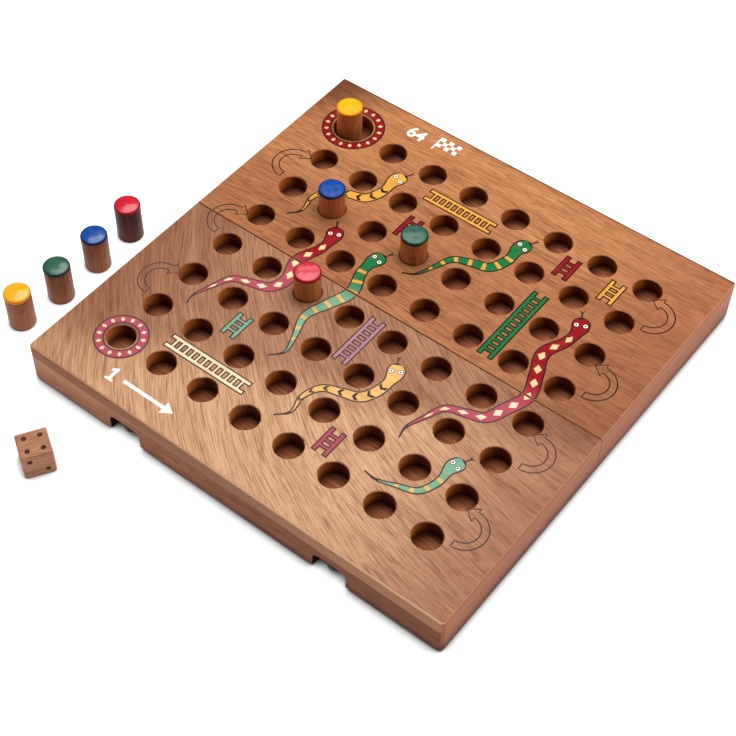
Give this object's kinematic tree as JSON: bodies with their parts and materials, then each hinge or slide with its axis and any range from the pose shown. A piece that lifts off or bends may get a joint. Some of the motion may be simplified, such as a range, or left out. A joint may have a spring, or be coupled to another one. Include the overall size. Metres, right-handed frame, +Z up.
{
  "type": "folding snakes and ladders peg board",
  "caption": "Hinged wooden snakes and ladders board with rows of drilled peg holes, storage trays underneath, colour-topped pegs and a wooden die.",
  "frame": {"origin": "on the table under the middle of the open board, midway along the seam", "axes": "+X along the seam, to the right from the start corner; +Y from the front half to the rear half; +Z up"},
  "size_m": [0.2935, 0.3026, 0.041],
  "materials": {
    "plate_wood": "satin oiled",
    "base_wood": "satin oiled",
    "die_wood": "satin oiled",
    "hinge_brass": "polished",
    "stud_steel": "dark bronzed",
    "ring_rubber": "matt",
    "yellow_top_wood": "oiled wood, gloss painted top",
    "green_top_wood": "oiled wood, gloss painted top",
    "blue_top_wood": "oiled wood, gloss painted top",
    "red_top_wood": "oiled wood, gloss painted top"
  },
  "bodies": {
    "front_half": {"front_base": "base_wood", "front_top_plate": "plate_wood", "left_hinge_front_leaf": "hinge_brass", "left_hinge_pin": "hinge_brass", "right_hinge_front_leaf": "hinge_brass", "right_hinge_pin": "hinge_brass", "front_hinge_screws": "hinge_brass", "front_left_stud": "stud_steel", "front_right_stud": "stud_steel"},
    "rear_half": {"rear_base": "base_wood", "rear_top_plate": "plate_wood", "left_hinge_rear_leaf": "hinge_brass", "right_hinge_rear_leaf": "hinge_brass", "rear_hinge_screws": "hinge_brass", "rear_left_stud": "stud_steel", "rear_right_stud": "stud_steel"},
    "left_ring": {"left_rubber_ring": "ring_rubber"},
    "right_ring": {"right_rubber_ring": "ring_rubber"},
    "board_yellow_peg": {"board_yellow_peg": "yellow_top_wood"},
    "board_green_peg": {"board_green_peg": "green_top_wood"},
    "board_blue_peg": {"board_blue_peg": "blue_top_wood"},
    "board_red_peg": {"board_red_peg": "red_top_wood"},
    "loose_yellow_peg": {"loose_yellow_peg": "yellow_top_wood"},
    "loose_green_peg": {"loose_green_peg": "green_top_wood"},
    "loose_blue_peg": {"loose_blue_peg": "blue_top_wood"},
    "loose_red_peg": {"loose_red_peg": "red_top_wood"},
    "die": {"die": "die_wood"}
  },
  "joints": [
    {"name": "fold", "type": "hinge", "parent": "front_half", "child": "rear_half", "pos_m": [0, 0, 0.00125], "axis": [-1, 0, 0], "range_deg": [0, 180]},
    {"name": "left_ring_swing", "type": "hinge", "parent": "front_half", "child": "left_ring", "pos_m": [-0.06375, -0.12345, 0.007], "axis": [0, 1, 0], "range_deg": [-50, 50]},
    {"name": "right_ring_swing", "type": "hinge", "parent": "front_half", "child": "right_ring", "pos_m": [0.06375, -0.12345, 0.007], "axis": [0, 1, 0], "range_deg": [-50, 50]},
    {"name": "board_yellow_peg_lift", "type": "slide", "parent": "rear_half", "child": "board_yellow_peg", "axis": [0, 0, 1], "range_m": [0, 0.03]},
    {"name": "board_green_peg_lift", "type": "slide", "parent": "rear_half", "child": "board_green_peg", "axis": [0, 0, 1], "range_m": [0, 0.03]},
    {"name": "board_blue_peg_lift", "type": "slide", "parent": "rear_half", "child": "board_blue_peg", "axis": [0, 0, 1], "range_m": [0, 0.03]},
    {"name": "board_red_peg_lift", "type": "slide", "parent": "front_half", "child": "board_red_peg", "axis": [0, 0, 1], "range_m": [0, 0.03]},
    {"name": "loose_yellow_peg_lift", "type": "slide", "parent": "front_half", "child": "loose_yellow_peg", "axis": [0, 0, 1], "range_m": [0, 0.03]},
    {"name": "loose_green_peg_lift", "type": "slide", "parent": "front_half", "child": "loose_green_peg", "axis": [0, 0, 1], "range_m": [0, 0.03]},
    {"name": "loose_blue_peg_lift", "type": "slide", "parent": "front_half", "child": "loose_blue_peg", "axis": [0, 0, 1], "range_m": [0, 0.03]},
    {"name": "loose_red_peg_lift", "type": "slide", "parent": "front_half", "child": "loose_red_peg", "axis": [0, 0, 1], "range_m": [0, 0.03]},
    {"name": "die_lift", "type": "slide", "parent": "front_half", "child": "die", "axis": [0, 0, 1], "range_m": [0, 0.03]}
  ]
}
